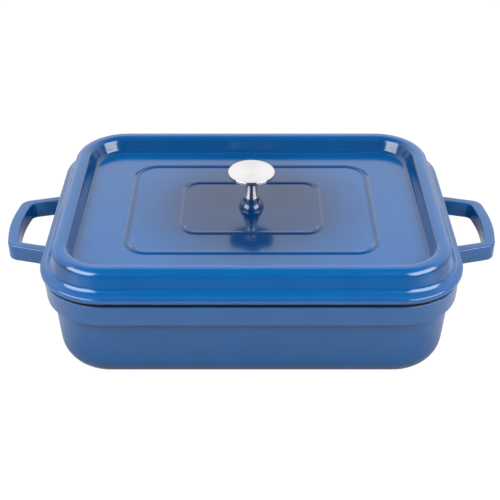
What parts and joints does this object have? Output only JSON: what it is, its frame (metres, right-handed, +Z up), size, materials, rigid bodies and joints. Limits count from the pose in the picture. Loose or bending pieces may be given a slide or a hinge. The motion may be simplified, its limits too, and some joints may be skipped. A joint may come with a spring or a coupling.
{
  "type": "covered casserole dish",
  "caption": "Rectangular covered casserole in enamelled cast aluminium, with loop handles, an overhanging lid and a polished steel knob.",
  "frame": {"origin": "centre of the dish's base, at the level of the surface it stands on", "axes": "+Z up, +X from one loop handle to the other, +Y away from the front long side"},
  "size_m": [0.406, 0.242, 0.1285],
  "materials": {
    "dish_enamel": "gloss",
    "lid_enamel": "gloss",
    "knob_steel": "polished",
    "seal_rubber": "matte",
    "fastener_steel": "satin"
  },
  "bodies": {
    "dish": {"dish_body": "dish_enamel"},
    "cover": {"lid": "lid_enamel", "knob": "knob_steel", "knob_seal": "seal_rubber", "flat_washer": "fastener_steel", "lock_washer": "fastener_steel", "knob_screw": "fastener_steel"}
  },
  "joints": [
    {"name": "lid_lift", "type": "slide", "parent": "dish", "child": "cover", "axis": [0, 0, 1], "range_m": [0, 0.15]}
  ]
}
